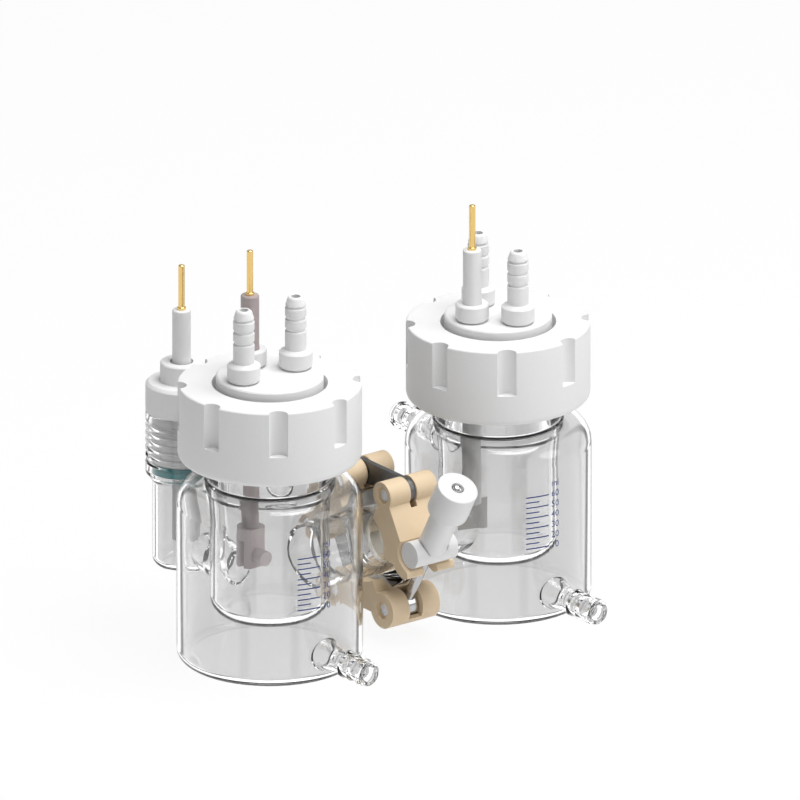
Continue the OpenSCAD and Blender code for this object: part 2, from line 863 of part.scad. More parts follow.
// Outline of a screw cap in (radius, height)
module cap_outline() {
  r = cap_d / 2;
  top = cap_z + cap_h;
  foot = 2.4;
  edge = 0.9;
  difference() {
    union() {
      translate([0, cap_z]) square([r - foot, cap_h]);
      translate([0, cap_z + foot]) square([r, cap_h - foot - edge]);
      translate([0, cap_z + foot]) square([r - edge, cap_h - foot]);
      translate([r - foot, cap_z + foot]) circle(foot);
      translate([r - edge, top - edge]) circle(edge);
    }
    square([cap_hole_d / 2, far]);
    square([cap_bore_d / 2, flange_top]);
    polygon([[0, cap_z - 1], [cap_bore_d / 2 + 3, cap_z - 1], [cap_bore_d / 2, cap_z + 2], [0, cap_z + 2]]);
  }
}

module screw_cap(side) {
  color("white")
    at_cell(side) difference() {
      rotate_extrude() cap_outline();
      for (k = [0:flute_count - 1])
        rotate(flute_turn + k * 360 / flute_count)
          translate([cap_d / 2 + flute_out, 0, cap_z + cap_h - flute_len])
            cylinder(h = flute_len + 1, r = flute_r);
    }
}

module left_screw_cap() {
  screw_cap(-1);
}

module right_screw_cap() {
  screw_cap(1);
}

// A lid with two gas ports and one gland
module lid(side, gas, rod) {
  edge = 0.5;
  disc_r = lid_disc_d / 2;
  color("white")
    difference() {
      at_cell(side) rotate_extrude()
        polygon([[0, lid_bottom], [plug_r - 1, lid_bottom], [plug_r, lid_bottom + 1], [plug_r, seal_top],
          [lid_flange_d / 2, seal_top], [lid_flange_d / 2, flange_top], [disc_r, flange_top],
          [disc_r, disc_top - edge], [disc_r - edge, disc_top], [0, disc_top]]);
      for (turn = gas) at_port(side, turn) {
        translate([0, 0, disc_top - barb_stem_h]) cylinder(h = far, r = barb_stem_r);
        cylinder(h = far, d = barb_bore_d);
      }
      at_port(side, rod) {
        cylinder(h = far, r = rod_hole_r);
        translate([0, 0, disc_top - gland_depth]) cylinder(h = far, r = gland_r);
      }
    }
}

module left_lid() {
  lid(-1, LEFT_GAS, LEFT_ROD);
}

module right_lid() {
  lid(1, RIGHT_GAS, RIGHT_ROD);
}

// The flat seal between the glass rim and the flange of the lid
module neck_seal(side) {
  color("tomato")
    at_cell(side) rotate_extrude() translate([neck_in_r, rim_z])
      square([neck_wall, neck_seal_t]);
}

module left_neck_seal() {
  neck_seal(-1);
}

module right_neck_seal() {
  neck_seal(1);
}

// Outline of the collar of a barb or gland nut, from its foot up to its top edge
function collar_points(z) = [[collar_d / 2 - collar_bevel, z], [collar_d / 2, z + collar_bevel],
  [collar_d / 2, z + collar_h - collar_edge], [collar_d / 2 - collar_edge, z + collar_h]];

// A gas hose barb: stem in the lid, collar, shank, two rings and a bullet tip
module gas_barb(side, turn) {
  shank = shank_d / 2;
  waist = shank - barb_groove;
  z0 = disc_top;
  shank_top = z0 + collar_h + barb_shank_h;
  ring_pitch = 0.336 * (z0 + barb_h - shank_top);
  tip = shank_top + 2 * ring_pitch + 2 * barb_groove;
  top = z0 + barb_h;
  color("white")
    at_port(side, turn) rotate_extrude() difference() {
      union() {
        polygon(concat([[0, z0 - barb_stem_h], [barb_stem_r, z0 - barb_stem_h], [barb_stem_r, z0]],
          collar_points(z0), [[shank, z0 + collar_h + collar_rise], [shank, shank_top],
          [waist, shank_top + barb_groove], [waist, tip], [0, tip]]));
        for (k = [0:1])
          translate([0, shank_top + k * ring_pitch])
            polygon([[0, barb_groove], [waist, barb_groove], [shank, 3 * barb_groove],
              [shank, ring_pitch], [waist, ring_pitch + barb_groove], [0, ring_pitch + barb_groove]]);
        polygon([[0, tip], [shank - 0.1, tip], [shank - 0.8, top - 0.5], [tip_r + 0.2, top],
          [0, top]]);
      }
      square([barb_bore_d / 2, far]);
    }
}

module left_gas_inlet() {
  gas_barb(-1, LEFT_GAS[0]);
}

module left_gas_outlet() {
  gas_barb(-1, LEFT_GAS[1]);
}

module right_gas_inlet() {
  gas_barb(1, RIGHT_GAS[0]);
}

module right_gas_outlet() {
  gas_barb(1, RIGHT_GAS[1]);
}

// A gland nut: stem in the lid and the same collar as a gas barb
module gland_nut(side, turn) {
  z0 = disc_top;
  stem_bottom = z0 - gland_depth + gland_ring_section;
  color("white")
    at_port(side, turn) rotate_extrude()
      polygon(concat([[rod_hole_r, stem_bottom], [gland_stem_r, stem_bottom], [gland_stem_r, z0]],
        collar_points(z0), [[rod_hole_r, z0 + collar_h]]));
}

module left_gland_nut() {
  gland_nut(-1, LEFT_ROD);
}

module right_gland_nut() {
  gland_nut(1, RIGHT_ROD);
}

// The O-ring that a gland nut squeezes round its rod
module gland_ring(side, turn) {
  section = gland_ring_section / 2;
  color("dimgray")
    at_port(side, turn) rotate_extrude()
      translate([rod_hole_r + section, disc_top - gland_depth + section]) circle(section);
}

module left_gland_ring() {
  gland_ring(-1, LEFT_ROD);
}

module right_gland_ring() {
  gland_ring(1, RIGHT_ROD);
}

// An electrode rod from z0 to z1 with a blind hole for its contact pin
module electrode_rod(z0, z1) {
  edge = 0.3;
  difference() {
    rotate_extrude() polygon([[0, z0], [rod_r, z0], [rod_r, z1 - edge], [rod_r - edge, z1], [0, z1]]);
    translate([0, 0, z1 - contact_depth]) cylinder(h = far, d = contact_d);
  }
}

// A gold contact pin in a rod whose top is at z1
module contact_pin(z1) {
  r = contact_d / 2;
  edge = 0.3;
  bush_r = r + 0.4;
  color("gold") rotate_extrude()
    polygon([[0, z1 - contact_depth], [r, z1 - contact_depth], [r, z1], [bush_r, z1], [bush_r, z1 + 0.8],
      [r, z1 + 0.8], [r, z1 + contact_h - edge], [r - edge, z1 + contact_h], [0, z1 + contact_h]]);
}

module working_electrode_rod() {
  color([0.64, 0.59, 0.58]) at_port(-1, LEFT_ROD) electrode_rod(clip_top - clip_socket, rod_top);
}

module working_contact_pin() {
  at_port(-1, LEFT_ROD) contact_pin(rod_top);
}

// The clip that holds the working electrode's sheet: a round block, split below by a slot
module electrode_clip() {
  flat = 0.8;
  color([0.64, 0.59, 0.58])
    at_port(-1, LEFT_ROD) difference() {
      intersection() {
        translate([0, 0, clip_z]) cylinder(h = clip_h, d = clip_d);
        translate([-far, -clip_d / 2 + flat, 0]) cube([2 * far, far, far]);
      }
      translate([0, 0, clip_top - clip_socket]) cylinder(h = far, r = rod_r);
      translate([-far, -clip_slot / 2 - 1, clip_z - 1]) cube([2 * far, clip_slot, clip_jaw_h + 1]);
      translate([0, -far, clip_screw_z]) rotate([-90, 0, 0])
        cylinder(h = far + clip_thread_len - clip_d / 2 + flat, r = clip_thread_r + run_gap);
    }
}

// The thumb screw of the clip, pointing at the front
module clip_screw() {
  face = -clip_d / 2 + 0.8;
  head_r = clip_head_d / 2;
  color([0.64, 0.59, 0.58])
    at_port(-1, LEFT_ROD) translate([0, face, clip_screw_z]) rotate([90, 0, 0]) {
      translate([0, 0, 0.2]) cylinder(h = clip_head_len, r = head_r);
      translate([0, 0, -clip_thread_len + 0.4]) cylinder(h = clip_thread_len, r = clip_thread_r);
    }
}

module counter_electrode_rod() {
  color("white") at_port(1, RIGHT_ROD) difference() {
    electrode_rod(counter_rod_z, rod_top);
    rotate(plate_turn) translate([-plate_side / 2, -plate_t / 2, plate_z])
      cube([plate_side, plate_t, plate_side]);
  }
}

module counter_contact_pin() {
  at_port(1, RIGHT_ROD) contact_pin(rod_top);
}

module platinum_plate() {
  color("gray") at_port(1, RIGHT_ROD) rotate(plate_turn)
    translate([-plate_side / 2, -plate_t / 2, plate_z]) cube([plate_side, plate_t, plate_side]);
}

// Reference closure

module at_chamber() {
  translate([-cell_x, axis_y + chamber_y, 0]) children();
}

// Grooves between the ridges of the plug's thread, in (radius, height)
module plug_thread_grooves() {
  crest = plug_thread_d / 2;
  root = crest - plug_thread_cut;
  for (k = [0:floor(plug_thread_h / plug_thread_pitch) - 1])
    translate([0, plug_bottom + (k + 0.3) * plug_thread_pitch])
      polygon([[root, 0.15 * plug_thread_pitch], [crest + 1, -0.1 * plug_thread_pitch],
        [crest + 1, 0.7 * plug_thread_pitch], [root, 0.45 * plug_thread_pitch]]);
}

// The screw plug: threaded part and nose in the neck, cap part and collar above
module reference_plug() {
  edge = 1;
  head_r = chamber_neck_r;
  collar_r = plug_collar_d / 2;
  hole_r = rod_hole_r + 0.7;
  color("white")
    at_chamber() rotate_extrude() difference() {
      polygon([[rod_hole_r, plug_nose_z], [plug_nose_r, plug_nose_z], [plug_nose_r, plug_bottom],
        [plug_thread_d / 2, plug_bottom], [plug_thread_d / 2, chamber_rim_z], [head_r, chamber_rim_z],
        [head_r, plug_collar_z - edge], [head_r - edge, plug_collar_z], [collar_r, plug_collar_z],
        [collar_r, plug_top - 0.4], [collar_r - 0.4, plug_top], [hole_r, plug_top],
        [hole_r, plug_top - 2], [rod_hole_r, plug_top - 2]]);
      translate([ring_r, plug_ring_z]) circle(plug_ring_section / 2);
      plug_thread_grooves();
    }
}

module reference_ring() {
  color([0.3, 0.58, 0.58])
    at_chamber() rotate_extrude() translate([ring_r, plug_ring_z]) circle(plug_ring_section / 2);
}

module reference_electrode() {
  color("white") at_chamber() electrode_rod(reference_tip_z, reference_top);
}

module reference_contact_pin() {
  at_chamber() contact_pin(reference_top);
}

left_glass_jacket();
left_water_inlet();
left_water_outlet();
left_glass_vessel();
left_bridge_arm();
side_arm_tube();
reference_chamber();
right_glass_jacket();
right_water_inlet();
right_water_outlet();
right_glass_vessel();
right_bridge_arm();
left_flange_gasket();
right_flange_gasket();
membrane();
clamp_back_jaw();
clamp_front_jaw();
clamp_lower_jaw();
clamp_top_link();
clamp_lower_link();
back_jaw_pins();
front_jaw_pin();
lower_jaw_pins();
swing_bolt();
cross_barrel();
clamp_knob();
left_screw_cap();
left_lid();
left_neck_seal();
left_gas_inlet();
left_gas_outlet();
left_gland_nut();
left_gland_ring();
working_electrode_rod();
working_contact_pin();
electrode_clip();
clip_screw();
right_screw_cap();
right_lid();
right_neck_seal();
right_gas_inlet();
right_gas_outlet();
right_gland_nut();
right_gland_ring();
counter_electrode_rod();
counter_contact_pin();
platinum_plate();
reference_plug();
reference_ring();
reference_electrode();
reference_contact_pin();
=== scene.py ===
# %% [markdown]
# An H-type electrolytic cell is laboratory glassware: two jacketed beakers joined by a bridge, with white
# fluoroplastic closures, gold contact pins and a beige chain clamp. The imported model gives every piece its
# place and size. This lesson gives each piece its finish, and blows the glass as one smooth body per half.
# %% Load the frame
import json
from math import cos, pi, radians, sin, tan

import bmesh
import bpy
from mathutils import Matrix, Vector

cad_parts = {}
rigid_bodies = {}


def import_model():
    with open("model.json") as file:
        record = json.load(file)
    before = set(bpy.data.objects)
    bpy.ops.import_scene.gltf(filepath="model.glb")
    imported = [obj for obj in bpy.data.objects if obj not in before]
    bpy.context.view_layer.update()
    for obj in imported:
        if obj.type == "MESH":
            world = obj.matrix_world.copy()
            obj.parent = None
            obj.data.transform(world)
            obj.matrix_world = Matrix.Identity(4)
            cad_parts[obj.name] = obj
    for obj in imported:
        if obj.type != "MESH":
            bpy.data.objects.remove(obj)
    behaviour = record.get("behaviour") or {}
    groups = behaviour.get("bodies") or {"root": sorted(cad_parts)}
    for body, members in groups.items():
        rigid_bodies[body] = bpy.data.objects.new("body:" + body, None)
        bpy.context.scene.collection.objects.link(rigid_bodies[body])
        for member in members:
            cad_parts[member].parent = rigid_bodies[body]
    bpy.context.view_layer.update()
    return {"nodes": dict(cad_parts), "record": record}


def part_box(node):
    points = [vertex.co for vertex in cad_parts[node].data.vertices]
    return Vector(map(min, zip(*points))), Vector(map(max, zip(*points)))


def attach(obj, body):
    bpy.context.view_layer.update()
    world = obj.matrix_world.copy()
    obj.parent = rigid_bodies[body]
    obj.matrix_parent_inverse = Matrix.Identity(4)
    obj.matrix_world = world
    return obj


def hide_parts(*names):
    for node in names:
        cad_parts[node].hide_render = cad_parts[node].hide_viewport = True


for leftover in list(bpy.data.objects):
    bpy.data.objects.remove(leftover)
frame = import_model()
MM = 0.001
body_of = {node: body for body, nodes in frame["record"]["behaviour"]["bodies"].items() for node in nodes}

# %% [markdown]
# The camera comes first, because everything else is judged through it. The picture has no perspective, so
# the camera is orthographic. It looks from the front left, 20.6 degrees above the bench.
# %% Camera
AZIMUTH = radians(-37.35)
ELEVATION = radians(20.6)
PICTURE_WIDTH = 0.2564
CAMERA_DISTANCE = 1.2
LOOK_RIGHT = 5.14 * MM
LOOK_UP = 72.55 * MM


def added(name, data):
    """A new object in the scene, with its origin at the world's."""
    made = bpy.data.objects.new(name, data)
    bpy.context.scene.collection.objects.link(made)
    return made


def middle(node):
    """The middle of a CAD node's box, in millimetres."""
    low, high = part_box(node)
    return (low + high) / (2 * MM)


axis_y = middle("left_screw_cap").y
right = Vector((cos(AZIMUTH), sin(AZIMUTH), 0))
back = Vector((sin(AZIMUTH) * cos(ELEVATION), -cos(AZIMUTH) * cos(ELEVATION), sin(ELEVATION)))
up = back.cross(right)
target = Vector((0, axis_y * MM, 0)) + right * LOOK_RIGHT + up * LOOK_UP
camera_data = bpy.data.cameras.new("camera")
camera_data.type = "ORTHO"
camera_data.ortho_scale = PICTURE_WIDTH
camera_data.clip_end = 10
camera = added("camera", camera_data)
facing = Matrix((right, up, back)).transposed().to_4x4()
camera.matrix_world = Matrix.Translation(target + back * CAMERA_DISTANCE) @ facing
bpy.context.scene.camera = camera
bpy.context.scene.view_settings.view_transform = "Standard"
print("camera looks at", [round(v, 4) for v in target])

# %% [markdown]
# Materials and Geometry Nodes are both node trees. Wiring them by hand hides the idea, so a small class
# lets a socket take part in plain arithmetic: an expression such as 1 - mask adds the Math nodes by itself.
# Every other node comes from one method, which takes the node's kind, its settings and the values or links
# of its sockets.
# %% Sockets that do arithmetic
class Wire:
    """An output socket that + - * and / can be used on."""

    def __init__(self, graph, socket):
        self.graph = graph
        self.socket = socket

    def math(self, operation, first, second):
        return self.graph.node("ShaderNodeMath", {"operation": operation}, {0: first, 1: second})

    def __add__(self, other):
        return self.math("ADD", self, other)

    def __radd__(self, other):
        return self.math("ADD", other, self)

    def __sub__(self, other):
        return self.math("SUBTRACT", self, other)

    def __rsub__(self, other):
        return self.math("SUBTRACT", other, self)

    def __mul__(self, other):
        return self.math("MULTIPLY", self, other)

    def __truediv__(self, other):
        return self.math("DIVIDE", self, other)


class Graph:
    """A node tree under construction."""

    def __init__(self, tree):
        self.tree = tree
        tree.nodes.clear()

    def node(self, kind, settings=None, inputs=None, out=0):
        made = self.tree.nodes.new(kind)
        for key, value in (settings or {}).items():
            if key == "stops":
                for stop, (where, colour) in zip(made.color_ramp.elements, value):
                    stop.position = where
                    stop.color = (*colour, 1)
            else:
                setattr(made, key, value)
        for key, value in (inputs or {}).items():
            if isinstance(value, Wire):
                self.tree.links.new(value.socket, made.inputs[key])
            else:
                made.inputs[key].default_value = value
        return Wire(self, made.outputs[out]) if made.outputs else None


class Paint(Graph):
    """One material under construction. Its patterns read Object coordinates, in metres."""

    def __init__(self, name):
        self.material = bpy.data.materials.new(name)
        self.material.use_nodes = True
        super().__init__(self.material.node_tree)
        self.place = self.node("ShaderNodeTexCoord", out="Object")

    def noise(self, scale, detail=2.0):
        return self.node("ShaderNodeTexNoise", {}, {"Vector": self.place, "Scale": scale, "Detail": detail})

    def blend(self, mask, low, high):
        """A colour that goes from low to high as mask goes from 0 to 1."""
        return self.node("ShaderNodeMix", {"data_type": "RGBA", "clamp_factor": True},
                         {0: mask, 6: (*low, 1), 7: (*high, 1)}, out=2)

    def bump(self, height, strength, distance=0.0001):
        return self.node("ShaderNodeBump", {}, {"Height": height, "Strength": strength, "Distance": distance})

    def surface(self, sockets):
        """Ends the tree in a Principled surface and returns the material."""
        shader = self.node("ShaderNodeBsdfPrincipled", {}, sockets)
        self.node("ShaderNodeOutputMaterial", {}, {"Surface": shader})
        return self.material


# %% [markdown]
# The photograph shows the cell on pure white, in even light from above and from the right. Diffuse surfaces
# and metal get a plain grey studio. Clear glass on pure white would vanish, so what is seen through it is a
# light grey, as over a softbox that doesn't fill the picture. A ray crosses two surfaces of glass per wall,
# so an odd number of walls leaves a remainder of two out of four: those rays see plain white where the
# glass bends them off the grey card behind the cell, and the walls show as white bands. Two dark strips,
# one to each side, draw the thin dark lines along the bands, as a glassware photographer's black cards do.
# %% World
FILL = 0.268
SEEN_IN_MIRRORS = 0.56
SEEN_THROUGH = 0.552
SEEN_IN_BANDS = 1.44
CARD_RIM = cos(radians(14))
CARD_FULL = cos(radians(7))
STRIP_AT = 0.5
STRIP_HALF = 0.03
STRIP_SOFT = 0.1
STRIP_DARK = 0.04
FACES_OF_ONE_WALL = 2.0
FACES_OF_TWO_WALLS = 4.0

world = bpy.data.worlds.new("studio")
bpy.context.scene.world = world
world.use_nodes = True
sky = Graph(world.node_tree)
camera_ray = sky.node("ShaderNodeLightPath", out="Is Camera Ray")
clear_ray = sky.node("ShaderNodeLightPath", out="Is Transmission Ray")
mirror_ray = sky.node("ShaderNodeLightPath", out="Is Glossy Ray") * (1 - clear_ray)
crossed = sky.node("ShaderNodeLightPath", out="Transmission Depth")
remainder = sky.node("ShaderNodeMath", {"operation": "MODULO"}, {0: crossed, 1: FACES_OF_TWO_WALLS})
odd_walls = sky.node("ShaderNodeMath", {"operation": "COMPARE"}, {0: remainder, 1: FACES_OF_ONE_WALL, 2: 0.5})
direction = sky.node("ShaderNodeTexCoord", out="Generated")
straight_on = sky.node("ShaderNodeVectorMath", {"operation": "DOT_PRODUCT"}, {0: direction, 1: tuple(-back)},
                       out="Value")
grey_card = sky.node("ShaderNodeMapRange", {"interpolation_type": "SMOOTHSTEP"}, {
    0: straight_on, 1: CARD_RIM, 2: CARD_FULL, 3: 0.0, 4: 1.0})
sideways = sky.node("ShaderNodeVectorMath", {"operation": "DOT_PRODUCT"}, {0: direction, 1: tuple(right)},
                    out="Value")
either_side = sky.node("ShaderNodeMath", {"operation": "ABSOLUTE"}, {0: sideways})
from_strip = sky.node("ShaderNodeMath", {"operation": "ABSOLUTE"}, {0: either_side - STRIP_AT})
strip = sky.node("ShaderNodeMapRange", {"interpolation_type": "SMOOTHSTEP"}, {
    0: from_strip, 1: STRIP_HALF, 2: STRIP_HALF + STRIP_SOFT, 3: STRIP_DARK, 4: 1.0})
in_glass = clear_ray * strip * (SEEN_THROUGH + odd_walls * (1 - grey_card) * (SEEN_IN_BANDS - SEEN_THROUGH))
in_metal = mirror_ray * strip * SEEN_IN_MIRRORS
strength = camera_ray + (1 - camera_ray) * (in_glass + in_metal + (1 - clear_ray - mirror_ray) * FILL)
white_air = sky.node("ShaderNodeBackground", {}, {"Color": (1, 1, 1, 1), "Strength": strength})
sky.node("ShaderNodeOutputWorld", {}, {"Surface": white_air})
print("studio: grey card", SEEN_THROUGH, "bands", SEEN_IN_BANDS, "fill", FILL)

# %% [markdown]
# A large round lamp overhead gives the bright tops and the soft shadow of the photograph, and a weak one at
# the right opens up the right sides. Both are area lamps, because the size of a lamp sets how soft its
# shadow is.
# %% Lamps
def soft_lamp(name, where, size, watts):
    """A round area lamp that faces the cell."""
    data = bpy.data.lights.new(name, "AREA")
    data.shape = "DISK"
    data.size = size
    data.energy = watts
    turn = (where - target).to_track_quat("Z", "Y").to_matrix().to_4x4()
    added(name, data).matrix_world = Matrix.Translation(where) @ turn
    print(name, watts, "W")


soft_lamp("overhead_lamp", target + Vector((0.1, -0.25, 1.0)), 0.8, 11.8)
soft_lamp("right_lamp", target + right * 0.9 + back * 0.4 + up * 0.3, 0.5, 1.2)

# %% [markdown]
# The floor is a plain pale bench. Where the camera sees it, most of its light is a plain white, so that it
# melts into the background, and the rest is a diffuse surface, so that it keeps the cell's soft shadow.
# Rays through glass pass it by and see the studio instead.
# %% Floor
FLOOR_HALF = 3.0
FLOOR_DROP = 0.05 * MM
FLOOR_WHITE = 0.92
FLOOR_IN_MIRRORS = 0.9

bench = Paint("white_bench")
direct_ray = bench.node("ShaderNodeLightPath", out="Is Camera Ray")
bounced_ray = bench.node("ShaderNodeLightPath", out="Is Glossy Ray")
plain = bench.node("ShaderNodeBsdfDiffuse", {}, {"Color": (0.92, 0.92, 0.92, 1)})
glow = bench.node("ShaderNodeEmission", {}, {"Strength": direct_ray + bounced_ray * FLOOR_IN_MIRRORS})
melted = bench.node("ShaderNodeMixShader", {}, {
    0: (direct_ray + bounced_ray) * FLOOR_WHITE, 1: plain, 2: glow})
bench.node("ShaderNodeOutputMaterial", {}, {"Surface": melted})
floor_mesh = bpy.data.meshes.new("floor")
corners = [(x * FLOOR_HALF, y * FLOOR_HALF, -FLOOR_DROP) for x, y in ((-1, -1), (1, -1), (1, 1), (-1, 1))]
floor_mesh.from_pydata(corners, [], [(0, 1, 2, 3)])
floor_mesh.materials.append(bench.material)
floor = added("floor", floor_mesh)
floor.visible_transmission = False

# %% [markdown]
# Nearly every piece is turned on a lathe or blown round an axis, so one helper makes them all. It takes an
# outline of (radius, height) points in millimetres, where a third number rounds that corner, and spins it
# about an axis. An outline that starts and ends on the axis gives closed poles, and any other one closes on
# itself as a ring.
# %% Rounded outlines
ARC_STEPS = 6


def rounded(points):
    """The outline with every corner that has a third number turned into an arc of that radius."""
    smooth = []
    count = len(points)
    for k, point in enumerate(points):
        here = Vector(point[:2])
        if len(point) < 3:
            smooth.append(here)
            continue
        before = (Vector(points[k - 1][:2]) - here).normalized()
        after = (Vector(points[(k + 1) % count][:2]) - here).normalized()
        half = before.angle(after) / 2
        centre = here + (before + after).normalized() * (point[2] / sin(half))
        start = here + before * (point[2] / tan(half)) - centre
        turn = start.angle_signed(here + after * (point[2] / tan(half)) - centre)
        for step in range(ARC_STEPS + 1):
            spun = start.copy()
            spun.rotate(Matrix.Rotation(-turn * step / ARC_STEPS, 2))
            smooth.append(centre + spun)
    return smooth


def at(node):
    """The place of a turned piece: on the upright axis through the middle of a CAD node."""
    spot = middle(node)
    return Matrix.Translation((spot.x, spot.y, 0))


# %% [markdown]
# The lathe copies the outline in steps round the axis and joins each pair of copies with faces. A large
# piece gets more steps than a small one, so that its edge stays round in a close view. The mesh is shaded
# smooth, and edges that are sharper than 32 degrees stay creases.
# %% Lathe
LARGE = 128
MEDIUM = 96
SMALL = 64
BORE = 48
ON_AXIS = 1e-6
CREASE = radians(32)


def smooth_skin(piece):
    """Smooth shading with creases kept sharp."""
    piece.data.shade_smooth()
    piece.data.set_sharp_from_angle(angle=CREASE)


def turned(name, points, place, steps=MEDIUM):
    """A mesh object: the rounded outline spun about the Z axis of place, in millimetres."""
    outline = rounded(points)
    closed_ring = outline[0].x > ON_AXIS or outline[-1].x > ON_AXIS
    vertices, rings, faces = [], [], []
    for radius, height in outline:
        if radius < ON_AXIS:
            rings.append([len(vertices)] * steps)
            vertices.append(place @ Vector((0, 0, height)) * MM)
        else:
            rings.append([len(vertices) + k for k in range(steps)])
            for k in range(steps):
                angle = 2 * pi * k / steps
                vertices.append(place @ Vector((radius * cos(angle), radius * sin(angle), height)) * MM)
    pairs = list(zip(rings, rings[1:]))
    if closed_ring:
        pairs.append((rings[-1], rings[0]))
    for low, high in pairs:
        for k in range(steps):
            corners = [low[k], low[(k + 1) % steps], high[(k + 1) % steps], high[k]]
            face = [c for j, c in enumerate(corners) if c != corners[j - 1]]
            if len(face) > 2:
                faces.append(face)
    mesh = bpy.data.meshes.new(name)
    mesh.from_pydata(vertices, [], faces)
    piece = added(name, mesh)
    smooth_skin(piece)
    return piece


# %% [markdown]
# Turned forms become real pieces by joining and cutting. A Boolean modifier with the manifold solver is
# quick and exact on closed meshes. Its result is kept as a plain mesh, and the piece is then handed over to
# the frame: it rides on a body, takes a finish, and stands for the CAD nodes that it hides.
# %% Joining, cutting and handing over
def modified_mesh(piece):
    """The mesh that a piece's modifiers make of it."""
    return bpy.data.meshes.new_from_object(piece.evaluated_get(bpy.context.evaluated_depsgraph_get()))


def settled(piece):
    """The piece, with its modifiers made into its mesh."""
    mesh = modified_mesh(piece)
    piece.modifiers.clear()
    piece.data = mesh
    return piece


def combined(first, others, operation):
    """first, with every other object added or cut away. The others are used up."""
    for other in others:
        change = first.modifiers.new("join", "BOOLEAN")
        change.operation = operation
        change.object = other
        change.solver = "MANIFOLD"
        old = first.data
        settled(first)
        bpy.data.meshes.remove(old)
        bpy.data.objects.remove(other)
    smooth_skin(first)
    return first


def handed_over(piece, material, body, slot, *nodes):
    """Gives a finished piece its material and its body, and hides the CAD nodes that it stands for. The slot
    is not used.
    """
    piece.data.materials.clear()
    piece.data.materials.append(material)
    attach(piece, body)
    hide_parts(*nodes)
    print(piece.name, len(piece.data.polygons), "faces")


# %% [markdown]
# Borosilicate glass is clear and almost colourless. A Principled surface with full transmission bends the
# light as the real walls do. It throws no shadow here, because a renderer without caustics would paint
# clear glass as dark as wood on what stands inside and behind it.
# %% Glass finish
GLASS_INDEX = 1.47

clear = Paint("clear_glass")
glass = clear.surface({"Base Color": (0.99, 0.99, 0.99, 1), "Roughness": 0.0, "IOR": GLASS_INDEX,
                       "Transmission Weight": 1.0})

# %% [markdown]
# Each half of the cell is one piece of glass: a jacket round a beaker, fused at the shoulder, with a bridge
# arm, water barbs and, on the left, a side arm to a small tube. Separate solids that only touch would show
# a seam, so each half is blown here as one skin: the outside forms are joined, then the water space, the
# beaker and all bores are cut out.
# %% Sizes of the glass
SHOULDER = 62.0
RIM = 84.5
BRIDGE_Z = 30.5
SIDE_ARM_Z = 25.6
CHAMBER_Y = 46.6
JACKET_OUTSIDE = [(0, 0), (29.985, 0, 4), (29.985, SHOULDER, 9), (20.6, SHOULDER, 0.35), (20.6, RIM, 0.6),
                  (0, RIM)]
WATER_SPACE = [(0, 1.8), (28.2, 1.8, 2.2), (28.2, 60.2, 7.1), (20.6, 60.2, 0.4), (20.6, 58.7), (19.2, 56.7),
               (19.2, 15.8, 6), (0, 15.8)]
BEAKER_INSIDE = [(0, 18), (17.4, 18, 4.2), (17.4, RIM + 3), (0, RIM + 3)]
ARM_OUTSIDE = [(0, 0.9), (16, 0.9, 0.5), (16, 2.4, 1.0), (10.8, 6.4, 2.0), (10.8, 31), (0, 31)]
BARB_OUTSIDE = [(0, 28.9), (6.1, 28.9), (5.2, 30.4, 3.0), (3.8, 36, 6.0), (3.8, 39.2, 0.6), (4.5, 40.4, 0.5),
                (4.5, 41.5, 0.5), (3.8, 42.7, 0.6), (3.8, 43.9, 0.6), (4.5, 45.1, 0.5), (4.5, 46.2, 0.5),
                (3.8, 47.4, 0.6), (3.8, 48.6, 0.6), (4.5, 49.8, 0.5), (4.5, 51.0, 0.5), (4.1, 52.5, 0.6),
                (0, 52.5)]
BARB_BORE = [(0, 24), (4.7, 24), (4.7, 29.2, 0.6), (3.9, 31.2, 2.5), (2.5, 36.5, 5.0), (2.5, 53), (0, 53)]
THREAD_GROOVE = [(11.6, 0), (11.05, 0.6), (11.05, 1.1), (11.6, 1.7)]
THREAD = [(radius, 53.6 + 2.5 * k + rise, 0.3) for k in range(6) for radius, rise in THREAD_GROOVE]
CHAMBER_OUTSIDE = [(0, 17.9), (9.4, 17.9, 3.5), (9.4, 47.1, 0.9), (11.6, 50.1, 0.9), *THREAD, (11.6, 71, 0.5),
                   (0, 71)]
CHAMBER_INSIDE = [(0, 19.5), (7.8, 19.5, 1.9), (7.8, 47.9, 0.9), (9.9, 50.7, 0.9), (9.9, 74), (0, 74)]
left_axis = at("left_screw_cap")
right_axis = at("right_screw_cap")
chamber_axis = at("reference_plug")
print("cells at x", [round(axis.translation.x, 2) for axis in (left_axis, right_axis)], "mm")

# %% [markdown]
# Hose barbs, the bridge arms and the side arm lie on their side. The lathe only knows upright outlines, so
# their place is a matrix that lays an upright axis down and points it the right way.
# %% Barbs and arms that lie on their side
def lying(place, height, direction):
    """An upright axis laid down at that height: its Z axis points along direction, in degrees from +X."""
    return place @ Matrix.Translation((0, 0, height)) @ Matrix.Rotation(radians(direction), 4, "Z") \
        @ Matrix.Rotation(pi / 2, 4, "Y")


def water_barbs(name, axis, turns):
    """The outsides and the bores of a jacket's two water hose barbs."""
    outsides = [turned(name, BARB_OUTSIDE, lying(axis, z, turn), SMALL) for turn, z in turns]
    bores = [turned(name, BARB_BORE, lying(axis, z, turn), BORE) for turn, z in turns]
    return outsides, bores


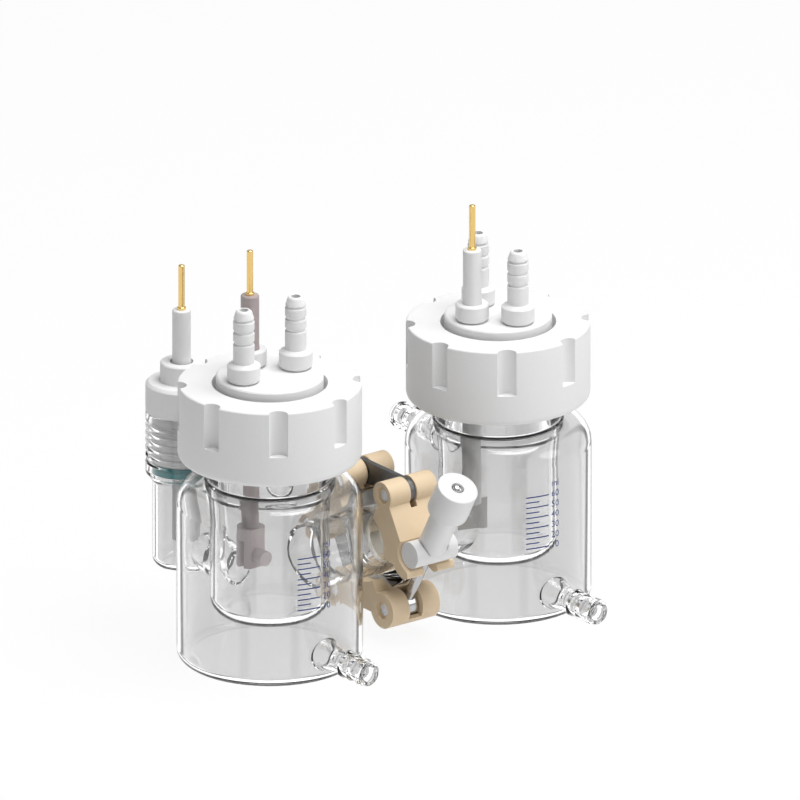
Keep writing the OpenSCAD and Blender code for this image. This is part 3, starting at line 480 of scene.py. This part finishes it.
def glass_half(name, axis, arm_direction, barb_turns, side_tube):
    """One half of the cell as one skin of glass."""
    arm = lying(Matrix.Translation((0, axis_y, 0)), BRIDGE_Z, arm_direction)
    outsides, bores = water_barbs(name, axis, barb_turns)
    outsides.append(turned(name, ARM_OUTSIDE, arm))
    inside = [turned(name, BEAKER_INSIDE, axis), turned(name, [(0, 0), (9, 0), (9, 32), (0, 32)], arm)]
    kept_dry = [turned(name, ARM_OUTSIDE, arm)]
    if side_tube:
        tube = lying(axis, SIDE_ARM_Z, 90)
        outsides += [turned(name, [(0, 15), (6.25, 15), (6.25, CHAMBER_Y), (0, CHAMBER_Y)], tube, SMALL),
                     turned(name, CHAMBER_OUTSIDE, chamber_axis)]
        kept_dry.append(turned(name, [(0, 15), (6.25, 15), (6.25, 40), (0, 40)], tube, SMALL))
        inside += [turned(name, [(0, 12), (4.75, 12), (4.75, CHAMBER_Y), (0, CHAMBER_Y)], tube, SMALL),
                   turned(name, CHAMBER_INSIDE, chamber_axis)]
    skin = combined(turned(name, JACKET_OUTSIDE, axis, LARGE), outsides, "UNION")
    water = combined(turned(name, WATER_SPACE, axis, LARGE), kept_dry, "DIFFERENCE")
    skin = combined(skin, [water] + bores + inside, "DIFFERENCE")
    skin.name = skin.data.name = name
    return skin


# %% [markdown]
# Both halves come from the same function. The left one has a second tube behind it, for the reference
# electrode, and its upper water barb turns aside to make room for that tube.
# %% Blow both halves
left_half = glass_half("left_glassware", left_axis, 180, ((-90, 9.8), (45, 46.7)), True)
right_half = glass_half("right_glassware", right_axis, 0, ((-90, 9.8), (90, 46.7)), False)
handed_over(left_half, glass, "root", "glass", "left_glass_jacket", "left_glass_vessel", "left_bridge_arm",
            "side_arm_tube", "reference_chamber", "left_water_inlet", "left_water_outlet")
handed_over(right_half, glass, "root", "glass", "right_glass_jacket", "right_glass_vessel",
            "right_bridge_arm", "right_water_inlet", "right_water_outlet")
for half in (left_half, right_half):
    half.visible_shadow = False

# %% [markdown]
# The closures are turned from PTFE, a soft white plastic with a waxy surface that scatters light inside it.
# A little roughness, a faint mottle and almost no mirror shine tell it from paint.
# %% PTFE finish
waxy = Paint("white_ptfe")
mottle = waxy.noise(900.0)
ptfe = waxy.surface({"Base Color": waxy.blend(mottle, (0.80, 0.80, 0.80), (0.83, 0.83, 0.83)),
                     "Roughness": 0.42 + mottle * 0.12, "IOR": 1.35,
                     "Normal": waxy.bump(waxy.noise(2600.0), 0.12, 0.00003)})

# %% [markdown]
# A screw cap is a thick ring of PTFE with eight grip flutes round it. The flutes repeat by a rule, so a
# small Geometry Nodes tree makes their cutters: one round bar, placed round a circle. A boolean then mills
# them out.
# %% Geometry Nodes helper
class Pattern(Graph):
    """A Geometry Nodes tree with named inputs. Its result becomes a plain mesh object."""

    def __init__(self, name, sizes):
        super().__init__(bpy.data.node_groups.new(name, "GeometryNodeTree"))
        self.sizes = sizes
        self.sockets = {}
        for label, value in sizes.items():
            kind = "NodeSocketInt" if isinstance(value, int) else "NodeSocketFloat"
            self.sockets[label] = self.tree.interface.new_socket(label, in_out="INPUT", socket_type=kind)
        self.tree.interface.new_socket("Geometry", in_out="OUTPUT", socket_type="NodeSocketGeometry")
        self.group_in = self.tree.nodes.new("NodeGroupInput")

    def size(self, label):
        return Wire(self, self.group_in.outputs[label])

    def point(self, x, y, z):
        return self.node("ShaderNodeCombineXYZ", {}, {0: x, 1: y, 2: z})

    def result(self, geometry, material):
        """Realizes the instances, sets the material and bakes the tree into a mesh object."""
        realized = self.node("GeometryNodeRealizeInstances", {}, {"Geometry": geometry})
        painted = self.node("GeometryNodeSetMaterial", {}, {"Geometry": realized, "Material": material})
        out = self.tree.nodes.new("NodeGroupOutput")
        self.tree.links.new(painted.socket, out.inputs["Geometry"])
        carrier = added(self.tree.name, bpy.data.meshes.new(self.tree.name))
        modifier = carrier.modifiers.new("pattern", "NODES")
        modifier.node_group = self.tree
        for label, value in self.sizes.items():
            modifier[self.sockets[label].identifier] = value
        return settled(carrier)


# %% [markdown]
# The tree makes a line of points with no length between them, and sends each point to its place on the
# circle by its own index. A bar then stands on each. The bars reach over the top of the cap, so that the
# cut has no thin skin left.
# %% Flute cutters
CAP_RADIUS = 29.6
CAP_FOOT = 68.6
CAP_TOP = 94.2
FLUTE_OVERRUN = 2
FLUTES = {"Count": 8, "Circle": 29.8, "Cutter Radius": 3.1, "Length": 15.0, "First Turn": 13.15}


def flute_cutters(axis):
    """Eight round bars that stand in the rim of a cap."""
    pattern = Pattern("flute_cutters", FLUTES)
    line = pattern.node("GeometryNodeMeshLine", {}, {"Count": pattern.size("Count"), "Offset": (0, 0, 0)})
    index = pattern.node("GeometryNodeInputIndex")
    angle = (index * 360 / pattern.size("Count") + pattern.size("First Turn")) * (pi / 180)
    ring = pattern.node("GeometryNodeSetPosition", {}, {
        "Geometry": line, "Position": pattern.point(
            pattern.node("ShaderNodeMath", {"operation": "COSINE"}, {0: angle}) * pattern.size("Circle"),
            pattern.node("ShaderNodeMath", {"operation": "SINE"}, {0: angle}) * pattern.size("Circle"),
            CAP_TOP + FLUTE_OVERRUN - (pattern.size("Length") + FLUTE_OVERRUN) * 0.5)})
    bar = pattern.node("GeometryNodeMeshCylinder", {}, {
        "Vertices": 40, "Radius": pattern.size("Cutter Radius"),
        "Depth": pattern.size("Length") + FLUTE_OVERRUN})
    bars = pattern.node("GeometryNodeInstanceOnPoints", {}, {"Points": ring, "Instance": bar})
    cutters = pattern.result(bars, ptfe)
    cutters.data.transform(Matrix.Scale(MM, 4) @ axis)
    return cutters


# %% [markdown]
# The cap itself is one turned ring: a rounded foot, a small break at the top edge, and a hole for the lid's
# disc.
# %% Turn and flute the caps
CAP_OUTLINE = [(22.8, 70.6), (24.8, CAP_FOOT), (CAP_RADIUS, CAP_FOOT, 2.4), (CAP_RADIUS, CAP_TOP, 0.6),
               (18.6, CAP_TOP, 0.3), (18.6, 89.0), (22.8, 89.0)]
for side, axis in (("left", left_axis), ("right", right_axis)):
    ring = turned(side + "_fluted_cap", CAP_OUTLINE, axis, LARGE)
    cap = combined(ring, [flute_cutters(axis)], "DIFFERENCE")
    handed_over(cap, ptfe, side + "_cap", "white_ptfe", side + "_screw_cap")

# %% [markdown]
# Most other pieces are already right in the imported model, apart from their edges. A machined edge always
# has a small break that catches the light. So a copy of the CAD mesh is merged, its flat faces are joined
# up, and a Bevel modifier breaks every edge that is sharper than 35 degrees.
# %% Soft-edged copies of CAD pieces
SAME_POINT = 0.002 * MM
SAME_FACE = radians(0.6)
SHARP_EDGE = radians(35)
EDGE_STEPS = 2


def broken_edges(node, width):
    """A copy of a CAD node, with its sharp edges broken by that width in millimetres."""
    piece = added(node + "_turned", frame["nodes"][node].data.copy())
    shell = bmesh.new()
    shell.from_mesh(piece.data)
    bmesh.ops.remove_doubles(shell, verts=shell.verts, dist=SAME_POINT)
    bmesh.ops.dissolve_limit(shell, angle_limit=SAME_FACE, verts=shell.verts, edges=shell.edges)
    shell.to_mesh(piece.data)
    shell.free()
    bevel = piece.modifiers.new("edges", "BEVEL")
    bevel.limit_method = "ANGLE"
    bevel.angle_limit = SHARP_EDGE
    bevel.width = width * MM
    bevel.segments = EDGE_STEPS
    bevel.use_clamp_overlap = True
    piece.modifiers.new("flat faces", "WEIGHTED_NORMAL").keep_sharp = True
    piece.data.shade_smooth()
    return settled(piece)


def finish_pieces(material, slot, width, nodes):
    """Breaks the edges of the CAD nodes that a body carries, and gives them that finish."""
    for node in nodes:
        handed_over(broken_edges(node, width), material, body_of[node], slot, node)


finish_pieces(ptfe, "white_ptfe", 0.15, [
    "left_lid", "right_lid", "left_gland_nut", "right_gland_nut", "counter_electrode_rod", "reference_plug",
    "reference_electrode"])
finish_pieces(ptfe, "white_ptfe", 0.06, [
    "left_gas_inlet", "left_gas_outlet", "right_gas_inlet", "right_gas_outlet"])

# %% [markdown]
# The working electrode's holder is a mauve grey PEEK rod, turned smooth, with a clip at its foot. The
# plastic has a satin face with very fine turning marks, which show as a slight change of roughness along
# the rod. The clip and its screw get a paler copy of the same mauve: painted light, which makes up for the
# light that the cap keeps from them inside the glass.
# %% Mauve grey plastic
mauve_paint = Paint("mauve_grey_plastic")
height = mauve_paint.node("ShaderNodeSeparateXYZ", {}, {0: mauve_paint.place}, out="Z")
marks = mauve_paint.node("ShaderNodeMath", {"operation": "SINE"}, {0: height * 18000.0})
mauve = mauve_paint.surface({
    "Base Color": mauve_paint.blend(mauve_paint.noise(700.0), (0.430, 0.362, 0.362), (0.460, 0.388, 0.388)),
    "Roughness": 0.36 + marks * 0.03,
    "Normal": mauve_paint.bump(marks, 0.05, 0.00002)})
finish_pieces(mauve, "grey_plastic", 0.25, ["working_electrode_rod"])
# The clip's paler mauve is painted light: it brightens the clip where the cap shades it inside the glass.
clip_paint = Paint("pale_mauve_plastic")
mauve_painted_lighter = clip_paint.surface({
    "Base Color": clip_paint.blend(clip_paint.noise(700.0), (0.68, 0.58, 0.58), (0.74, 0.63, 0.63)),
    "Roughness": 0.36 + clip_paint.noise(1900.0) * 0.08})
finish_pieces(mauve_painted_lighter, "grey_plastic", 0.2, ["electrode_clip", "clip_screw"])

# %% [markdown]
# The contact pins are gold plated brass. Gold is a metal, so its colour is the colour of its reflections,
# and a little roughness spreads them along the pin.
# %% Gold
gold_paint = Paint("gold_plate")
gold = gold_paint.surface({
    "Base Color": gold_paint.blend(gold_paint.noise(1500.0), (0.90, 0.62, 0.22), (0.95, 0.67, 0.26)),
    "Metallic": 1.0, "Roughness": 0.18 + gold_paint.noise(900.0) * 0.05})
finish_pieces(gold, "gold", 0.15, ["working_contact_pin", "counter_contact_pin", "reference_contact_pin"])

# %% [markdown]
# The clamp's pins and swing bolt are polished stainless steel, with faint grinding lines that a Mapping
# node stretches. Its link plates get a far darker steel colour, which is painted shade for the dark things
# they reflect. The counter electrode is a platinum sheet, which is duller and a bit warmer.
# %% Steel and platinum
steel_paint = Paint("polished_steel")
stretched = steel_paint.node("ShaderNodeMapping", {}, {
    "Vector": steel_paint.place, "Scale": (6000, 300, 300)})
grain = steel_paint.node("ShaderNodeTexNoise", {}, {"Vector": stretched, "Scale": 1.0, "Detail": 2.0})
steel = steel_paint.surface({
    "Base Color": steel_paint.blend(grain, (0.50, 0.50, 0.51), (0.62, 0.62, 0.63)), "Metallic": 1.0,
    "Roughness": 0.14 + grain * 0.1, "Normal": steel_paint.bump(grain, 0.05, 0.00002)})
finish_pieces(steel, "polished_steel", 0.2, ["back_jaw_pins", "front_jaw_pin", "lower_jaw_pins"])
# The link plates' very dark steel colour is painted shade: it stands in for the dark reflections they show.
link_paint = Paint("dark_spring_steel")
link_tone = link_paint.noise(500.0)
link_steel_painted_dark = link_paint.surface({
    "Base Color": link_paint.blend(link_tone, (0.13, 0.13, 0.135), (0.18, 0.18, 0.18)), "Metallic": 1.0,
    "Roughness": 0.34 + link_tone * 0.1})
finish_pieces(link_steel_painted_dark, "polished_steel", 0.2, ["clamp_top_link", "clamp_lower_link"])
platinum_paint = Paint("platinum_sheet")
sheen = platinum_paint.noise(1200.0, 3.0)
platinum = platinum_paint.surface({
    "Base Color": platinum_paint.blend(sheen, (0.54, 0.53, 0.52), (0.62, 0.61, 0.60)), "Metallic": 1.0,
    "Roughness": 0.28 + sheen * 0.12, "Normal": platinum_paint.bump(sheen, 0.1, 0.00003)})
finish_pieces(platinum, "platinum", 0.05, ["platinum_plate"])

# %% [markdown]
# The swing bolt has an eye at its foot and a domed end, so it is turned afresh: the rod about the bolt's
# own axis, which leans to the front, and the eye about its hinge pin. The knob is turned about the same
# axis, from white plastic painted a shade greyer than the PTFE: painted shade, for the darker sides the knob
# shows in this light. The cross barrel gets that greyer colour too.
# %% Swing bolt and knob
BOLT_PIN = Vector((0, -14.15, 10.928))
BOLT_LEAN = radians(30)
BOLT_ROD = [(0, 2.6), (1.75, 2.6), (1.75, 55.4), (1.66, 55.75), (1.4, 56.02), (1.0, 56.23), (0.5, 56.36),
            (0, 56.4)]
BOLT_EYE = [(2.05, -2.4), (4.2, -2.4, 0.7), (4.2, 2.4, 0.7), (2.05, 2.4)]
KNOB = [(2.05, 28.1), (4.65, 28.1), (4.65, 43.1, 0.8), (6.75, 44.5, 0.6), (6.75, 55.6, 0.4),
        (2.05, 55.6, 0.2)]

pin_place = Matrix.Translation(BOLT_PIN)
bolt_axis = pin_place @ Matrix.Rotation(BOLT_LEAN, 4, "X")
bolt = turned("domed_swing_bolt", BOLT_ROD, bolt_axis, SMALL)
eye = turned("bolt_eye", BOLT_EYE, pin_place @ Matrix.Rotation(pi / 2, 4, "Y"), SMALL)
handed_over(combined(bolt, [eye], "UNION"), steel, "swing_bolt", "polished_steel", "swing_bolt")
# This greyer white is painted shade: it darkens the knob and the cross barrel as if they were shaded.
shade_greyed_paint = Paint("white_nylon")
haze = shade_greyed_paint.noise(800.0)
nylon_painted_shade = shade_greyed_paint.surface({"Base Color": shade_greyed_paint.blend(haze, (0.73, 0.73, 0.73), (0.76, 0.76, 0.76)),
                        "Roughness": 0.38 + haze * 0.1})
handed_over(turned("turned_clamp_knob", KNOB, bolt_axis), nylon_painted_shade, "clamp_knob", "white_ptfe", "clamp_knob")
finish_pieces(nylon_painted_shade, "white_ptfe", 0.5, ["cross_barrel"])

# %% [markdown]
# The clamp's three jaws are moulded from a beige engineering plastic. A moulding has rounder edges than a
# turned piece, an even satin skin and a very slight cloudiness of colour.
# %% Beige plastic
beige_paint = Paint("beige_plastic")
cloud = beige_paint.noise(260.0, 3.0)
beige = beige_paint.surface({
    "Base Color": beige_paint.blend(cloud, (0.70, 0.545, 0.36), (0.74, 0.585, 0.395)),
    "Roughness": 0.38 + cloud * 0.1, "Normal": beige_paint.bump(beige_paint.noise(5200.0), 0.15, 0.00003)})
finish_pieces(beige, "beige_plastic", 0.45, ["clamp_back_jaw", "clamp_front_jaw", "clamp_lower_jaw"])

# %% [markdown]
# Rubber is matte, pale in the hidden seals and teal in the plug's ring, which is squeezed fat where it
# closes the flare of the chamber. The flange gaskets are clear silicone. Seals that hardly show keep their
# CAD meshes and only get a finish. The membrane is a thin amber film that lets light through.
# %% Rubber, gaskets and membrane
PLUG_RING = [(5.65, 48.9, 1.89), (9.45, 48.9, 1.89), (9.45, 52.7, 1.89), (5.65, 52.7, 1.89)]


def dressed(material, *nodes):
    """Gives CAD nodes that stay as they are a better finish."""
    for node in nodes:
        frame["nodes"][node].data.materials.clear()
        frame["nodes"][node].data.materials.append(material)


teal_paint = Paint("teal_rubber")
bloom = teal_paint.noise(800.0)
teal = teal_paint.surface({"Base Color": teal_paint.blend(bloom, (0.012, 0.25, 0.27), (0.02, 0.30, 0.32)),
                           "Roughness": 0.35 + bloom * 0.1})
pale_paint = Paint("pale_rubber")
dust = pale_paint.noise(900.0)
pale_rubber = pale_paint.surface({
    "Base Color": pale_paint.blend(dust, (0.60, 0.59, 0.57), (0.66, 0.65, 0.63)),
    "Roughness": 0.6 + dust * 0.15})
clear_rubber = Paint("clear_silicone")
silicone = clear_rubber.surface({
    "Base Color": clear_rubber.blend(clear_rubber.noise(900.0), (0.86, 0.87, 0.87), (0.91, 0.92, 0.92)),
    "Roughness": 0.3, "Alpha": 0.35})
film_paint = Paint("membrane_film")
ripple = film_paint.noise(400.0)
film = film_paint.surface({"Base Color": film_paint.blend(ripple, (0.80, 0.70, 0.48), (0.84, 0.76, 0.56)),
                           "Roughness": 0.3, "Alpha": 0.3, "Normal": film_paint.bump(ripple, 0.1, 0.00005)})
plug_ring = turned("plug_seal_ring", PLUG_RING, chamber_axis)
handed_over(plug_ring, teal, "reference_plug", "teal_rubber", "reference_ring")
dressed(pale_rubber, "left_neck_seal", "right_neck_seal", "left_gland_ring", "right_gland_ring")
dressed(silicone, "left_flange_gasket", "right_flange_gasket")
dressed(film, "membrane")

# %% [markdown]
# A jacket of this kind often carries a plain scale in dark blue ink: ticks every five millilitres and
# longer ones every ten, with numbers. Geometry Nodes lay the ticks out flat, text objects give the numbers,
# and all of it goes a hair above the glass.
# %% Ticks
INK_RADIUS = 30.01
SCALE_FOOT = 26.6
NUMBER_SIZE = 3.1
NUMBER_X = 9.0
SCALE_MIDDLE = 6.8
TICKS = {"Count": 11, "Step": 1.75, "Short": 4.6, "Long": 8.0, "Thickness": 0.42}

ink_paint = Paint("navy_ink")
ink = ink_paint.surface({
    "Base Color": ink_paint.blend(ink_paint.noise(1500.0), (0.010, 0.030, 0.17), (0.014, 0.040, 0.20)),
    "Roughness": 0.45})


def tick_marks():
    """Flat ticks in millimetres: x to the right from the scale's spine, y up."""
    pattern = Pattern("scale_ticks", TICKS)
    line = pattern.node("GeometryNodeMeshLine", {}, {
        "Count": pattern.size("Count"), "Offset": pattern.point(0.0, pattern.size("Step"), 0.0)})
    index = pattern.node("GeometryNodeInputIndex")
    long_one = pattern.node("ShaderNodeMath", {"operation": "COMPARE"}, {
        0: pattern.node("ShaderNodeMath", {"operation": "MODULO"}, {0: index, 1: 2.0}), 1: 0.0, 2: 0.1})
    length = pattern.size("Short") + long_one * (pattern.size("Long") - pattern.size("Short"))
    tick = pattern.node("GeometryNodeMeshGrid", {}, {
        "Size X": 1.0, "Size Y": pattern.size("Thickness"), "Vertices X": 7, "Vertices Y": 2})
    shifted = pattern.node("GeometryNodeTransform", {}, {"Geometry": tick, "Translation": (0.5, 0, 0)})
    ticks = pattern.node("GeometryNodeInstanceOnPoints", {}, {
        "Points": line, "Instance": shifted, "Scale": pattern.point(length, 1.0, 1.0)})
    return pattern.result(ticks, ink)


# %% [markdown]
# The whole print is rolled up by treating a distance to the right as an angle round the jacket. A long
# straight edge would cut through the round glass, so long edges are split first.
# %% Numbers, and rolling the print onto the jacket
SCALE_TURN = radians(-97)
UNIT_GAP = 1.8
LONGEST_EDGE = 1.2


def number(text, x, y):
    """A number as a flat mesh whose left edge is at x and whose middle is at height y."""
    letters = bpy.data.curves.new("number", "FONT")
    letters.body = text
    letters.size = NUMBER_SIZE
    letters.align_y = "CENTER"
    letters.resolution_u = 3
    carrier = added("number", letters)
    mesh = modified_mesh(carrier)
    bpy.data.objects.remove(carrier)
    mesh.transform(Matrix.Translation((x, y, 0)))
    return mesh


def jacket_scale(name, axis):
    """The printed scale of one jacket."""
    print_shape = bmesh.new()
    ticks = tick_marks()
    print_shape.from_mesh(ticks.data)
    bpy.data.objects.remove(ticks)
    for k in range(0, TICKS["Count"], 2):
        print_shape.from_mesh(number(str(10 + 10 * (k // 2)), NUMBER_X, k * TICKS["Step"]))
    print_shape.from_mesh(number("ml", NUMBER_X, TICKS["Count"] * TICKS["Step"] + UNIT_GAP))
    long_edges = [edge for edge in print_shape.edges if edge.calc_length() > LONGEST_EDGE]
    bmesh.ops.subdivide_edges(print_shape, edges=long_edges, cuts=2)
    for corner in print_shape.verts:
        angle = SCALE_TURN + (corner.co.x - SCALE_MIDDLE) / INK_RADIUS
        rolled = Vector((INK_RADIUS * cos(angle), INK_RADIUS * sin(angle), SCALE_FOOT + corner.co.y))
        corner.co = axis @ rolled * MM
    mesh = bpy.data.meshes.new(name)
    print_shape.to_mesh(mesh)
    print_shape.free()
    handed_over(added(name, mesh), ink, "root", "glass")


jacket_scale("left_scale", left_axis)
jacket_scale("right_scale", right_axis)
